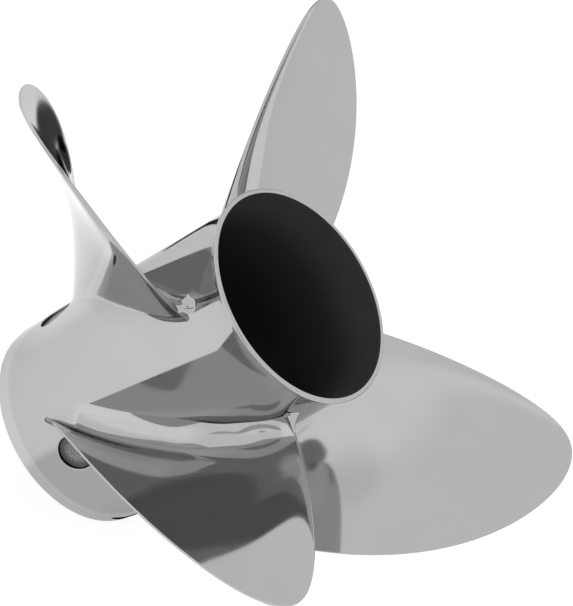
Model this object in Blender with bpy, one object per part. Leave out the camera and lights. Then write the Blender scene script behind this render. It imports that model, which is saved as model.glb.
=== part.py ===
"""Four-blade boat propeller whose exhaust leaves through the hub, standing on its front rim.

Millimetres and degrees in here, metres in the mesh. Z runs aft along the shaft from the front rim.
"""

import math

import bmesh
import bpy
import numpy as np
from mathutils import Matrix, Vector

MM = 0.001
GAP = 0.3

# The blade: a 20 inch pitch on a 15 1/4 inch circle.
BLADES = 4
TIP_RADIUS = 193.7
PITCH = 508.0
FIRST_TIP_ANGLE = 79.2
ROOT_HEIGHT = 98.7
RAKE = 104.8
RAKE_EASING = 29.9
OUTLINE_TERMS = (0, 28.0, -31.0, 22.1, 21.2, -14.9, 0.1, 3.9)
OUTLINE_FULLNESS = 0.033
ROOT_THICKNESS = 8.0
TIP_THICKNESS = 2.0
LEADING_EDGE = 1.5
TRAILING_EDGE = 1.6
TRAILING_EDGE_ROOT = 4.0
CUP_HEIGHT = 3.2
CUP_LENGTH = 5.0
CUP_LENGTH_ROOT = 8.5
HOLLOW = 1.3

# The fillet at the blade's root: its spread over the barrel, and how steeply it meets the metal there.
NOSE_FILLET = 6.0
FACE_FILLET = 27.0
TAIL_FILLET = 18.0
EDGE_FILLET = 3.0
BACK_FILLET = 10.0
MEETING_ANGLE = 26.0
MEETING_ANGLE_AFT = 38.0
FILLET_RISE = 0.72
FILLET_TOP = 23.5
FOLLOW_REACH = 30.0
CHORD_STEPS = (0, 0.03, 0.08, 0.14, 0.21, 0.29, 0.37, 0.45, 0.53, 0.61, 0.69, 0.77, 0.85, 0.92, 0.97, 1)
FILLET_ROWS = 6
BLADE_ROWS = 13
LAST_PLACE = 0.02

# The barrel that the blades stand on.
LENGTH = 171.0
FRONT_RADIUS = 57.2
WAIST_RADIUS = 56.4
OUTLET_RADIUS = 59.7
OUTLET_BORE = 57.2
BARREL_BORE = 53.7
FRONT_BORE = 51.5
FLARE_START = 150.5
RIM_ROUND = 1.6
BEVEL_HEIGHT = 8.0
BEVEL_DEPTH = 1.2
SPAN = TIP_RADIUS - FRONT_RADIUS

# The vents through the barrel wall, one in front of each blade.
VENT_ANGLE = 52.7
VENT_HEIGHT = 34.4
VENT_RADIUS = 9.8
PLUG_FACE = 55.6
PLUG_FLANGE_RADIUS = 11.3

# The inner hub, its ribs, the rubber bushing and the splined core.
HUB_RADIUS = 33.0
HUB_BORE = 27.0
HUB_FRONT = 12.0
HUB_BACK = 90.0
RIB_ANGLE = 8.4
RIB_THICKNESS = 6.0
RIB_FRONT = 22.0
RIB_BACK = 78.0
CORE_RADIUS = 17.5
CORE_FRONT = 9.0
CORE_BACK = 93.0
SPLINES = 15
SPLINE_OUTER = 15.4
SPLINE_INNER = 13.6


def material(name, colour, metallic, roughness):
    made = bpy.data.materials.new(name)
    made.use_nodes = True
    shader = made.node_tree.nodes["Principled BSDF"]
    shader.inputs["Base Color"].default_value = (*colour, 1)
    shader.inputs["Metallic"].default_value = metallic
    shader.inputs["Roughness"].default_value = roughness
    return made


def finish(name, mesh, look, crease=35):
    """Put the bmesh into the scene as one smooth-shaded object with true edges where it turns sharply."""
    bmesh.ops.recalc_face_normals(mesh, faces=mesh.faces)
    data = bpy.data.meshes.new(name)
    mesh.to_mesh(data)
    mesh.free()
    data.shade_smooth()
    data.set_sharp_from_angle(angle=math.radians(crease))
    data.materials.append(look)
    made = bpy.data.objects.new(name, data)
    bpy.context.scene.collection.objects.link(made)
    return made


def polar(radius, angle, height):
    """A point from its distance to the shaft axis, its angle in degrees and its height."""
    turn = math.radians(angle)
    return Vector((radius * math.cos(turn), radius * math.sin(turn), height)) * MM


def arc(centre_r, centre_z, radius, start, end, steps):
    """Points (r, z) on a quarter or half round, angles from +r towards +z."""
    points = []
    for i in range(steps + 1):
        turn = math.radians(start + (end - start) * i / steps)
        points.append((centre_r + radius * math.cos(turn), centre_z + radius * math.sin(turn)))
    return points


def turned(profile, steps, closed):
    """Revolve (r, z) points round the axis. An open profile is capped flat at both ends."""
    mesh = bmesh.new()
    rings = []
    for r, z in profile:
        rings.append([mesh.verts.new(polar(r, 360 * i / steps, z)) for i in range(steps)])
    pairs = list(zip(rings, rings[1:]))
    if closed:
        pairs.append((rings[-1], rings[0]))
    for low, high in pairs:
        for i in range(steps):
            j = (i + 1) % steps
            mesh.faces.new((low[i], low[j], high[j], high[i]))
    if not closed:
        mesh.faces.new(rings[0])
        mesh.faces.new(rings[-1])
    return mesh


def ring(name, outer, bore, front, back, chamfer, look, steps=40):
    """A plain tube with small chamfers at its four corners."""
    c = chamfer
    profile = [(bore, front + c), (bore + c, front), (outer - c, front), (outer, front + c)]
    profile += [(outer, back - c), (outer - c, back), (bore + c, back), (bore, back - c)]
    return finish(name, turned(profile, steps, True), look)


def soft_step(value, low, high):
    """0 below low, 1 above high and a smooth rise between."""
    part = np.clip((value - low) / (high - low), 0, 1)
    return part * part * (3 - 2 * part)


def barrel_radius(z):
    """Outside of the barrel: a bevel at the front, then a little narrower, then flared to the outlet ring."""
    flare = np.clip(z - FLARE_START, 0, None) / (LENGTH - FLARE_START)
    bevel = BEVEL_DEPTH * np.clip(1 - z / BEVEL_HEIGHT, 0, 1)
    waist = FRONT_RADIUS + (WAIST_RADIUS - FRONT_RADIUS) * soft_step(z, 30, 90)
    return waist - bevel + (OUTLET_RADIUS - WAIST_RADIUS) * flare * flare


def barrel_bore(z):
    """Inside of the barrel: a tighter collar in front, then one bore, wider at the outlet."""
    bore = FRONT_BORE + (BARREL_BORE - FRONT_BORE) * soft_step(z, 11, 16)
    return bore + (OUTLET_BORE - BARREL_BORE) * soft_step(z, 140, LENGTH - 1.2)


def barrel(look):
    lip = (OUTLET_RADIUS - OUTLET_BORE) / 2
    outer = arc(barrel_radius(RIM_ROUND) - RIM_ROUND, RIM_ROUND, RIM_ROUND, -90, 0, 4)
    heights = (BEVEL_HEIGHT, 30, 45, 60, 75, 90, *np.linspace(FLARE_START, LENGTH - lip, 5)[:-1])
    outer += [(barrel_radius(z), z) for z in heights]
    outer += arc(OUTLET_RADIUS - lip, LENGTH - lip, lip, 0, 180, 4)
    inner = [(barrel_bore(z), z) for z in (161, 155, 149, 140, 16, 11, 1)]
    inner += [(FRONT_BORE + 1, 0)]
    made = finish("barrel", turned(outer + inner, 60, True), look)
    for i in range(BLADES):
        drill = finish("drill", turned([(VENT_RADIUS, 45), (VENT_RADIUS, 65)], 24, False), look)
        drill.matrix_world = outward(VENT_ANGLE + 90 * i, VENT_HEIGHT)
        cut = made.modifiers.new("vent", "BOOLEAN")
        cut.operation = "DIFFERENCE"
        cut.solver = "EXACT"
        cut.object = drill
        bpy.context.view_layer.update()
        graph = bpy.context.evaluated_depsgraph_get()
        data = bpy.data.meshes.new_from_object(made.evaluated_get(graph))
        made.modifiers.clear()
        made.data = data
        bpy.data.objects.remove(drill, do_unlink=True)
    made.data.shade_smooth()
    made.data.set_sharp_from_angle(angle=math.radians(35))
    return made


def outward(angle, height):
    """Turn the Z axis of a turned piece to point away from the shaft at this angle and height."""
    lift = Matrix.Translation((0, 0, height * MM))
    return Matrix.Rotation(math.radians(angle), 4, "Z") @ lift @ Matrix.Rotation(math.radians(90), 4, "Y")


def outline_angle(w):
    """Edge of the blade as an angle from the tip: w is -1 at the leading root, 0 at the tip, 1 aft."""
    return sum(term * w**power for power, term in enumerate(OUTLINE_TERMS))


def outline_reach(w):
    """How far the outline stands out from the barrel, a little squarer than an ellipse."""
    k = math.cos(math.pi * w / 2)
    return SPAN * k * (1 + OUTLINE_FULLNESS * (1 - k * k))


def place_of_reach(reach):
    """The place w along the outline that stands out this far."""
    k = reach / SPAN
    for _ in range(6):
        k = reach / SPAN / (1 + OUTLINE_FULLNESS * (1 - k * k))
    return 2 / math.pi * math.acos(k)


def face_height(radius, angle):
    """Height of the driving face: the rake line and the pitch of one turn."""
    u = (radius - FRONT_RADIUS) / SPAN
    return ROOT_HEIGHT + RAKE * u - RAKE_EASING * u * u + PITCH * angle / 360


def flat_section(chord, u):
    """Outline of a section in the flat, driving face first, with the root fillet's spread, rise and start."""
    c = np.array(CHORD_STEPS)
    thickest = TIP_THICKNESS + (ROOT_THICKNESS - TIP_THICKNESS) * (1 - u) ** 1.1
    trailing = TRAILING_EDGE + (TRAILING_EDGE_ROOT - TRAILING_EDGE) * (1 - u) ** 8
    edge = LEADING_EDGE + (trailing - LEADING_EDGE) * c
    thick = edge + np.clip(thickest - edge, 0, None) * (4 * c * (1 - c)) ** 1.4
    cup_length = CUP_LENGTH + (CUP_LENGTH_ROOT - CUP_LENGTH) * (1 - u) ** 1.5
    cup = CUP_HEIGHT * (1 - u**6) * (c ** (chord / cup_length) - c**1.6)
    hollow = HOLLOW * (1 - u**3) * 27 / 4 * c * (1 - c) ** 2
    middle = cup - hollow + edge / 2 - thick / 2
    face = np.stack([c * chord, middle + thick / 2], -1)
    back = np.stack([c * chord, middle - thick / 2], -1)
    face_spread = NOSE_FILLET + (FACE_FILLET - NOSE_FILLET) * soft_step(c, 0, 0.14)
    face_spread += (TAIL_FILLET - FACE_FILLET) * soft_step(c, 0.8, 1)
    back_spread = EDGE_FILLET + (BACK_FILLET - EDGE_FILLET) * (soft_step(c, 0.3, 0.55) - soft_step(c, 0.7, 1))
    spread = np.concatenate([face_spread, back_spread[::-1]])
    meeting = MEETING_ANGLE + (MEETING_ANGLE_AFT - MEETING_ANGLE) * soft_step(c, 0.55, 0.8)
    start = np.cos(np.radians(np.concatenate([meeting, np.full(len(c), MEETING_ANGLE)])))
    face_rise = FILLET_RISE + (1 - FILLET_RISE) * soft_step(c, 0.5, 0.8)
    rise = spread * np.concatenate([face_rise, np.linspace(1, FILLET_RISE, len(c))])
    return np.concatenate([face, back[::-1]]), spread, rise, start


def outward_normals(outline):
    """Unit normals of a closed outline in the flat, pointing away from the metal."""
    along = np.roll(outline, -1, 0) - np.roll(outline, 1, 0)
    along /= np.linalg.norm(along, axis=1)[:, None]
    return np.stack([-along[:, 1], along[:, 0]], -1)


def blade_row(reach):
    """Radii, angles and heights of one blade section, wrapped round the shaft this far out from the barrel."""
    w = place_of_reach(reach)
    nominal = FRONT_RADIUS + reach
    climb = PITCH / (2 * math.pi) / nominal
    slant = math.hypot(1, climb)
    start, end = outline_angle(-w), outline_angle(w)
    chord = math.radians(end - start) * nominal * slant
    outline, spread, rise, low_end = flat_section(chord, reach / SPAN)
    room = np.clip(low_end - reach / rise, 0, None)
    flare = spread * (1 - np.sqrt(1 - room**2))
    outline = outline + outward_normals(outline) * flare[:, None]
    turn = (outline[:, 0] - outline[:, 1] * climb) / slant / nominal
    z = face_height(nominal, start) + (outline[:, 0] * climb + outline[:, 1]) / slant
    follow = max(1 - reach / FOLLOW_REACH, 0)
    radius = nominal + (barrel_radius(z) - FRONT_RADIUS) * follow
    return radius, start + np.degrees(turn), z


def blade(name, tip_angle, look):
    turns = np.linspace(0, math.pi / 2, FILLET_ROWS + 1)
    reaches = list(FILLET_TOP * (1 - np.cos(turns)))
    places = np.linspace(place_of_reach(FILLET_TOP), LAST_PLACE, BLADE_ROWS + 1)
    reaches += [outline_reach(w) for w in places[1:]]
    mesh = bmesh.new()
    rows = []
    for reach in reaches:
        radius, turn, z = blade_row(reach)
        if reach == 0:
            radius = radius + GAP
            root = turn, z
        rows.append([mesh.verts.new(polar(*point)) for point in zip(radius, tip_angle + turn, z)])
    count = len(rows[0])
    for low, high in zip(rows, rows[1:]):
        for i in range(count):
            j = (i + 1) % count
            mesh.faces.new((low[i], low[j], high[j], high[i]))
    last_row = rows[-1]
    for i in range(len(CHORD_STEPS) - 1):
        mesh.faces.new((last_row[i], last_row[i + 1], last_row[count - 2 - i], last_row[count - 1 - i]))
    close_root(mesh, rows[0], root, tip_angle)
    return finish(name, mesh, look, 40)


def close_root(mesh, row, root, tip_angle, across=11):
    """Close the blade's foot with a skin that follows the barrel a gap away."""
    turns, heights = root
    columns = []
    for i in range(len(CHORD_STEPS)):
        other = len(row) - 1 - i
        column = [row[i]]
        for k in range(1, across):
            part = k / across
            turn = turns[i] + (turns[other] - turns[i]) * part
            z = heights[i] + (heights[other] - heights[i]) * part
            column.append(mesh.verts.new(polar(barrel_radius(z) + GAP, tip_angle + turn, z)))
        column.append(row[other])
        columns.append(column)
    for left, right in zip(columns, columns[1:]):
        for k in range(across):
            mesh.faces.new((left[k], left[k + 1], right[k + 1], right[k]))
    for column in (columns[0], columns[-1]):
        mesh.faces.new(column)


def rib(name, angle, look):
    """A straight web between the inner hub and the barrel, with its ends a gap away from both."""
    half = RIB_THICKNESS / 2
    mesh = bmesh.new()
    bmesh.ops.create_cube(mesh, size=1)
    inner = HUB_RADIUS + GAP
    outer = BARREL_BORE - 0.5
    size = Vector((outer - inner, 2 * half, RIB_BACK - RIB_FRONT)) * MM
    bmesh.ops.scale(mesh, vec=size, verts=mesh.verts)
    centre = Vector(((outer + inner) / 2, 0, (RIB_BACK + RIB_FRONT) / 2)) * MM
    bmesh.ops.translate(mesh, vec=centre, verts=mesh.verts)
    ends = [e for e in mesh.edges if abs(e.verts[0].co.z - e.verts[1].co.z) < 1e-6
            and abs(e.verts[0].co.y - e.verts[1].co.y) < 1e-6]
    bmesh.ops.bevel(mesh, geom=ends, offset=2 * MM, segments=2, affect="EDGES")
    made = finish(name, mesh, look)
    made.data.transform(Matrix.Rotation(math.radians(angle), 4, "Z"))
    return made


def core(name, look):
    """The metal core: round outside, with the splines that take the shaft inside."""
    per_tooth = 4
    steps = SPLINES * per_tooth
    mesh = bmesh.new()
    rings = []
    for z, shrink in ((CORE_FRONT, 0.8), (CORE_FRONT + 0.8, 0), (CORE_BACK - 0.8, 0), (CORE_BACK, 0.8)):
        rings.append([mesh.verts.new(polar(CORE_RADIUS - shrink, 360 * i / steps, z)) for i in range(steps)])
    for z in (CORE_BACK, CORE_FRONT):
        inner = []
        for i in range(steps):
            radius = SPLINE_OUTER if i % per_tooth in (1, 2) else SPLINE_INNER
            inner.append(mesh.verts.new(polar(radius, 360 * i / steps, z)))
        rings.append(inner)
    for low, high in zip(rings, rings[1:] + rings[:1]):
        for i in range(steps):
            j = (i + 1) % steps
            mesh.faces.new((low[i], low[j], high[j], high[i]))
    return finish(name, mesh, look)


def plug(name, angle, look):
    """The push-in plug of a vent: a flange inside the wall and a face sunk below the outside."""
    stem = VENT_RADIUS - GAP
    profile = [(PLUG_FLANGE_RADIUS, 50.6), (PLUG_FLANGE_RADIUS, 52.2), (stem, 52.2)]
    profile += [(stem, PLUG_FACE - 0.6), (stem - 0.6, PLUG_FACE)]
    made = finish(name, turned(profile, 24, False), look)
    made.data.transform(outward(angle, VENT_HEIGHT))
    return made


for old in list(bpy.data.objects):
    bpy.data.objects.remove(old, do_unlink=True)

steel = material("polished_steel", (0.72, 0.72, 0.71), 1, 0.08)
brass = material("machined_brass", (0.66, 0.47, 0.2), 1, 0.3)
rubber = material("black_rubber", (0.02, 0.02, 0.02), 0, 0.8)
plastic = material("black_plastic", (0.08, 0.08, 0.08), 0, 0.45)
coating = material("black_coating", (0.01, 0.01, 0.01), 0, 0.45)

barrel(steel)
for i in range(BLADES):
    turn = 360 / BLADES * i
    blade(f"blade_{i + 1}", FIRST_TIP_ANGLE + turn, steel)
    rib(f"rib_{i + 1}", RIB_ANGLE + turn, coating)
    plug(f"vent_plug_{i + 1}", VENT_ANGLE + turn, plastic)
ring("inner_hub", HUB_RADIUS, HUB_BORE, HUB_FRONT, HUB_BACK, 1, coating)
ring("bushing", HUB_BORE - GAP, CORE_RADIUS + GAP, HUB_FRONT + 3, HUB_BACK - 3, 1, rubber)
core("splined_core", brass)
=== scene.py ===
# %% [markdown]
# # A four-blade boat propeller in polished stainless steel
#
# The real propeller is one investment casting: a hollow barrel that the exhaust leaves through, four wide
# raked blades, and an inner hub on four ribs. A rubber bushing with a splined metal core is pressed into
# the hub, and a plastic plug closes each of four small vents. Everything outside is polished like a mirror,
# and the passages inside are coated black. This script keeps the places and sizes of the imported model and
# dresses it, so the frame comes first.

import math

import bpy
import numpy as np
from mathutils import Matrix, Vector


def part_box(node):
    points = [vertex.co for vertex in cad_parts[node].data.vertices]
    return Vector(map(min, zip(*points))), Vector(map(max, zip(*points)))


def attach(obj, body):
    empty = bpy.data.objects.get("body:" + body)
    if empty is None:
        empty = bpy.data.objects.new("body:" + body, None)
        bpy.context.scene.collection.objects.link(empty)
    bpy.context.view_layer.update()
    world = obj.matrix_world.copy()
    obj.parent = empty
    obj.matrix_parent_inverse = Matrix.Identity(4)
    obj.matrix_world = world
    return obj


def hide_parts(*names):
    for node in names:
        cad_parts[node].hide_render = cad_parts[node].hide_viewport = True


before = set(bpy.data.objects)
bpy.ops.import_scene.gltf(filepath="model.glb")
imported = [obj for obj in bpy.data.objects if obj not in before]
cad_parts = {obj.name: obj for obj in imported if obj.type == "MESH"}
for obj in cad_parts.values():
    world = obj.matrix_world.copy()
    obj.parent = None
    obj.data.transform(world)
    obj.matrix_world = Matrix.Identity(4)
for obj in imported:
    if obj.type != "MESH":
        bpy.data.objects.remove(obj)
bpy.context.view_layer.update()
MM = 0.001
print("nodes:", ", ".join(sorted(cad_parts)))

# %% [markdown]
# ## Driving sizes
#
# A propeller is ordered by two numbers, its diameter and its pitch: here 15 1/4 inches across, and 20 inches
# forward in each turn. Everything below is worked out from those, the size of the barrel, and the thickness
# of the metal, in millimetres and degrees. Z runs aft along the shaft from the front rim.

# %% Sizes
BLADES = 4
TIP_RADIUS = 193.7
PITCH = 508.0
FIRST_TIP_ANGLE = 79.2
ROOT_HEIGHT = 98.7
RAKE = 104.8
RAKE_EASING = 29.9
OUTLINE_TERMS = (0, 28.0, -31.0, 22.1, 21.2, -14.9, 0.1, 3.9)
OUTLINE_FULLNESS = 0.033
ROOT_THICKNESS = 8.0
TIP_THICKNESS = 2.0
LEADING_EDGE = 1.5
TRAILING_EDGE = 1.6
TRAILING_EDGE_ROOT = 4.0
CUP_HEIGHT = 3.2
CUP_LENGTH = 5.0
CUP_LENGTH_ROOT = 8.5
HOLLOW = 1.3

barrel_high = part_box("barrel")[1]
LENGTH = barrel_high[2] / MM
OUTLET_RADIUS = barrel_high[0] / MM
FRONT_RADIUS = 57.2
WAIST_RADIUS = 56.4
OUTLET_BORE = 57.2
BARREL_BORE = 53.7
FRONT_BORE = 51.5
WAIST_START = 30.0
WAIST_END = 90.0
COLLAR_DEPTH = 11.0
COLLAR_SLOPE = 5.0
MOUTH_START = 140.0
MOUTH_EDGE = 1.2
FLARE_START = 150.5
RIM_ROUND = 1.6
BEVEL_HEIGHT = 8.0
BEVEL_DEPTH = 1.2
SPAN = TIP_RADIUS - FRONT_RADIUS
print("barrel", round(LENGTH, 1), "mm long,", round(2 * OUTLET_RADIUS, 1), "mm across the outlet")

# %% [markdown]
# ## Small helpers
#
# Most pieces here are grids of points: rings of a turned shape, or sections of a blade. One helper turns
# points and faces into an object whose normals are smooth except across true edges, and puts it on the
# part's one body. A polished surface shows every uneven normal, so the grids are fine and regular.


# %% Mesh helpers
def piece(name, points, faces, node_names, crease=40):
    """A smooth-shaded object from points in millimetres. It stands for the CAD nodes it names."""
    data = bpy.data.meshes.new(name)
    data.from_pydata([tuple(p) for p in np.asarray(points) * MM], [], faces)
    data.validate()
    data.shade_smooth()
    data.set_sharp_from_angle(angle=math.radians(crease))
    made = bpy.data.objects.new(name, data)
    bpy.context.scene.collection.objects.link(made)
    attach(made, "root")
    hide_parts(*node_names)
    print(name, len(data.vertices), "points,", len(data.polygons), "faces")
    return made


def soft_step(value, low, high):
    """0 below low, 1 above high and a smooth rise between."""
    part = np.clip((value - low) / (high - low), 0, 1)
    return part * part * (3 - 2 * part)


def polar(radius, angle, height):
    """Points from their distance to the shaft axis, their angle in degrees and their height."""
    turn = np.radians(angle)
    return np.stack([radius * np.cos(turn), radius * np.sin(turn), height + 0 * turn], -1)


def arc(centre_r, centre_z, radius, start, end, steps):
    """Points (r, z) on a round, with angles from +r towards +z."""
    turns = np.radians(np.linspace(start, end, steps + 1))
    return [(centre_r + radius * math.cos(t), centre_z + radius * math.sin(t)) for t in turns]


def grid_faces(rows, columns, wrap_rows=False):
    """Quads between neighbouring closed rows of points that are numbered row by row."""
    faces = []
    for i in range(rows if wrap_rows else rows - 1):
        low, high = i * columns, (i + 1) % rows * columns
        for j in range(columns):
            k = (j + 1) % columns
            faces.append((low + j, low + k, high + k, high + j))
    return faces


def turned(profile, steps):
    """A closed profile of (r, z) points revolved round the shaft axis: points and faces."""
    angles = np.arange(steps) * 360 / steps
    rings = [polar(r, angles, z) for r, z in profile]
    return np.concatenate(rings), grid_faces(len(rings), steps, wrap_rows=True)


# %% [markdown]
# ## The barrel
#
# The barrel is a tube with a wall of about 3 mm. It narrows a little behind the front rim and flares into a
# ring at the outlet, which keeps the exhaust from being drawn forward over the blades. It could be turned
# from a profile and the vents cut by a Boolean, but a Boolean leaves thin triangles round each hole, and in
# a mirror finish they show as dents. So the wall is a grid, and round each vent a square window of that
# grid is replaced by rings that run from the square to the circle and on through the wall.


# %% Barrel profile
def barrel_radius(z):
    """Outside of the barrel at a height: it narrows from the front, then flares to the outlet ring."""
    waist = FRONT_RADIUS + (WAIST_RADIUS - FRONT_RADIUS) * soft_step(z, WAIST_START, WAIST_END)
    bevel = BEVEL_DEPTH * np.clip(1 - z / BEVEL_HEIGHT, 0, 1)
    flare = np.clip(z - FLARE_START, 0, None) / (LENGTH - FLARE_START)
    return waist - bevel + (OUTLET_RADIUS - WAIST_RADIUS) * flare * flare


def barrel_bore(z):
    """Inside of the barrel at a height: a tighter collar in front, then one bore, wider at the outlet."""
    bore = FRONT_BORE + (BARREL_BORE - FRONT_BORE) * soft_step(z, COLLAR_DEPTH, COLLAR_DEPTH + COLLAR_SLOPE)
    return bore + (OUTLET_BORE - BARREL_BORE) * soft_step(z, MOUTH_START, LENGTH - MOUTH_EDGE)


# %% Barrel with its vents
VENT_ANGLE = 52.7
VENT_HEIGHT = 34.4
VENT_RADIUS = 9.8
VENT_EDGE = 0.5
VENT_EDGE_STEPS = 5
COLUMNS = 240
COLUMN = 360 / COLUMNS
WINDOW_COLUMNS = 20
WINDOW_ROWS = 16
WINDOW_RINGS = 8
WINDOW_HALF_HEIGHT = 14.0
LIP = (OUTLET_RADIUS - OUTLET_BORE) / 2
LIP_EDGE = 0.3
BORE_ROUND = 1.0

window_bottom = VENT_HEIGHT - WINDOW_HALF_HEIGHT
window_top = VENT_HEIGHT + WINDOW_HALF_HEIGHT
window_heights = np.linspace(window_bottom, window_top, WINDOW_ROWS + 1)
outer_heights = np.concatenate([
    [RIM_ROUND], np.linspace(BEVEL_HEIGHT, window_bottom, 9)[:-1], window_heights,
    np.linspace(window_top, FLARE_START, 50)[1:], np.linspace(FLARE_START, LENGTH - LIP, 17)[1:-1]])
inner_heights = np.concatenate([
    np.linspace(LENGTH - LIP_EDGE, window_top, 60)[1:-1], window_heights[::-1],
    np.linspace(window_bottom, BORE_ROUND, 14)[1:]])


def barrel_profile():
    """The barrel wall as (r, z) points: up the outside, over the lip, down the bore, across the rim."""
    profile = [(float(barrel_radius(z)), z) for z in outer_heights]
    profile += arc(OUTLET_RADIUS - LIP, LENGTH - LIP, LIP, 0, 90, 10)
    profile += [(r, LENGTH) for r in np.linspace(OUTLET_RADIUS - LIP, OUTLET_BORE + LIP_EDGE, 4)[1:-1]]
    profile += arc(OUTLET_BORE + LIP_EDGE, LENGTH - LIP_EDGE, LIP_EDGE, 90, 180, 4)
    profile += [(float(barrel_bore(z)), z) for z in inner_heights]
    profile += arc(FRONT_BORE + BORE_ROUND, BORE_ROUND, BORE_ROUND, 180, 270, 5)
    profile += arc(float(barrel_radius(RIM_ROUND)) - RIM_ROUND, RIM_ROUND, RIM_ROUND, -90, 0, 10)[:-1]
    return profile


def window_start(centre):
    """The first column of the window round a vent at this angle."""
    return round(centre / COLUMN) - WINDOW_COLUMNS // 2


def window_cells(first_row, centre):
    """Numbers of the grid's faces inside one window."""
    columns = range(window_start(centre), window_start(centre) + WINDOW_COLUMNS)
    rows = range(first_row, first_row + WINDOW_ROWS)
    return {row * COLUMNS + column % COLUMNS for row in rows for column in columns}


def window_border(first_row, first_column):
    """Grid points round one window, in order, starting at its first row and column."""
    last_row, last_column = first_row + WINDOW_ROWS, first_column + WINDOW_COLUMNS
    border = [(first_row, c) for c in range(first_column, last_column)]
    border += [(r, last_column) for r in range(first_row, last_row)]
    border += [(last_row, c) for c in range(last_column, first_column, -1)]
    border += [(r, first_column) for r in range(last_row, first_row, -1)]
    return [row * COLUMNS + column % COLUMNS for row, column in border]


def add_ring(points, ring):
    """Append a ring's points and return their numbers."""
    numbers = list(range(len(points), len(points) + len(ring)))
    points.extend(ring)
    return numbers


def vent_ring(border, centre, wall_radius, part, hole_radius):
    """Points on the wall between the window's border, at part 0, and the hole's circle, at part 1."""
    angle = np.degrees(np.arctan2(border[:, 1], border[:, 0]))
    across = np.radians((angle - centre + 180) % 360 - 180) * wall_radius
    up = border[:, 2] - VENT_HEIGHT
    turn = np.arctan2(up, across)
    across_at_hole = np.arcsin(hole_radius * np.cos(turn) / wall_radius) * wall_radius
    across = across + (across_at_hole - across) * part
    up = up + (hole_radius * np.sin(turn) - up) * part
    return across, VENT_HEIGHT + up


def window_side(points, centre, first_row, wall, inside):
    """Rings on one side of the wall, from the window's border to the hole."""
    border = window_border(first_row, window_start(centre))
    if inside:
        border = [border[0]] + border[:0:-1]
    place = np.array([points[i] for i in border])
    wall_radius = float(wall(VENT_HEIGHT))
    side = [border]
    for part in np.linspace(0, 1, WINDOW_RINGS + 1)[1:]:
        across, z = vent_ring(place, centre, wall_radius, part, VENT_RADIUS + VENT_EDGE)
        side.append(add_ring(points, polar(wall(z), centre + np.degrees(across / wall_radius), z)))
    return side


def vent_edge(points, centre, outer_ring):
    """Rings over the rounded edge of a hole, from the outside of the wall into the hole."""
    rim = np.array([points[i] for i in outer_ring])
    axis = np.array([math.cos(math.radians(centre)), math.sin(math.radians(centre)), 0])
    middle = axis * (rim @ axis)[:, None]
    middle[:, 2] = VENT_HEIGHT
    arm = rim - middle
    arm /= np.linalg.norm(arm, axis=1)[:, None]
    rings = []
    for turn in np.radians(np.linspace(0, 90, VENT_EDGE_STEPS + 1))[1:]:
        reach = VENT_RADIUS + VENT_EDGE * (1 - math.sin(turn))
        rings.append(add_ring(points, middle + arm * reach - axis * VENT_EDGE * (1 - math.cos(turn))))
    return rings


def aligned(points, side, start):
    """The rings of a side, rolled so that the last one starts beside the start point."""
    away = [np.linalg.norm(points[i] - points[start]) for i in side[-1]]
    return [list(np.roll(ring, -int(np.argmin(away)))) for ring in side]


def ring_faces(rings):
    """Quads between neighbouring rings, each a list of point numbers."""
    faces = []
    for low, high in zip(rings, rings[1:]):
        for a in range(len(low)):
            b = (a + 1) % len(low)
            faces.append((low[a], low[b], high[b], high[a]))
    return faces


def build_barrel():
    """The wall as one grid, with rings in place of each window that lead through the wall."""
    profile = barrel_profile()
    angles = np.arange(COLUMNS) * COLUMN
    points = list(np.concatenate([polar(r, angles, z) for r, z in profile]))
    heights = [z for _, z in profile]
    outer_row = heights.index(window_heights[0])
    inner_row = len(profile) - 1 - heights[::-1].index(window_heights[-1])
    cut = set()
    sleeves = []
    for vent in range(BLADES):
        centre = VENT_ANGLE + 360 / BLADES * vent
        cut |= window_cells(outer_row, centre) | window_cells(inner_row, centre)
        outer_side = window_side(points, centre, outer_row, barrel_radius, False)
        inner_side = window_side(points, centre, inner_row, barrel_bore, True)
        edge = vent_edge(points, centre, outer_side[-1])
        inner_side = aligned(points, inner_side, outer_side[-1][0])
        sleeves += ring_faces(outer_side + edge + inner_side[::-1])
    wall = grid_faces(len(profile), COLUMNS, wrap_rows=True)
    return points, [face for number, face in enumerate(wall) if number not in cut] + sleeves


points, faces = build_barrel()
barrel = piece("barrel_casting", points, faces, ["barrel"])

# %% [markdown]
# ## The blades
#
# A blade is a wing wrapped round the shaft: at each radius its driving face follows a helix that climbs one
# pitch in a turn, and each section is set further aft than the last, which is its rake. Sections are drawn
# flat, as a propeller maker draws them: along the chord, the thickness grows to the middle, the leading edge
# is a fine round and the trailing edge a blunt one, curled up at the last few millimetres into the cup.
# Then each is wrapped on its own cylinder. Near the barrel the section grows outwards by the fillet, which
# is wide along the driving face, narrower along the back and small at the leading edge. Sculpting would be
# quicker to start, but only formulas give the even curvature that a mirror finish asks for.


# %% Blade lines
def outline_angle(w):
    """Edge of the blade as an angle from the tip: w is -1 at the leading root, 0 at the tip, 1 aft."""
    return sum(term * w**power for power, term in enumerate(OUTLINE_TERMS))


def fullness(k):
    """How much further than an ellipse the outline reaches, where the ellipse's share of the span is k."""
    return 1 + OUTLINE_FULLNESS * (1 - k * k)


def outline_reach(w):
    """How far the outline stands out from the barrel, a little squarer than an ellipse."""
    k = math.cos(math.pi * w / 2)
    return SPAN * k * fullness(k)


def place_of_reach(reach):
    """The place w along the outline that stands out this far."""
    k = reach / SPAN
    for _ in range(6):
        k = reach / SPAN / fullness(k)
    return 2 / math.pi * math.acos(k)


def face_height(radius, angle):
    """Height of the driving face: the rake line and the pitch of one turn."""
    u = (radius - FRONT_RADIUS) / SPAN
    return ROOT_HEIGHT + RAKE * u - RAKE_EASING * u * u + PITCH * angle / 360


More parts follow.
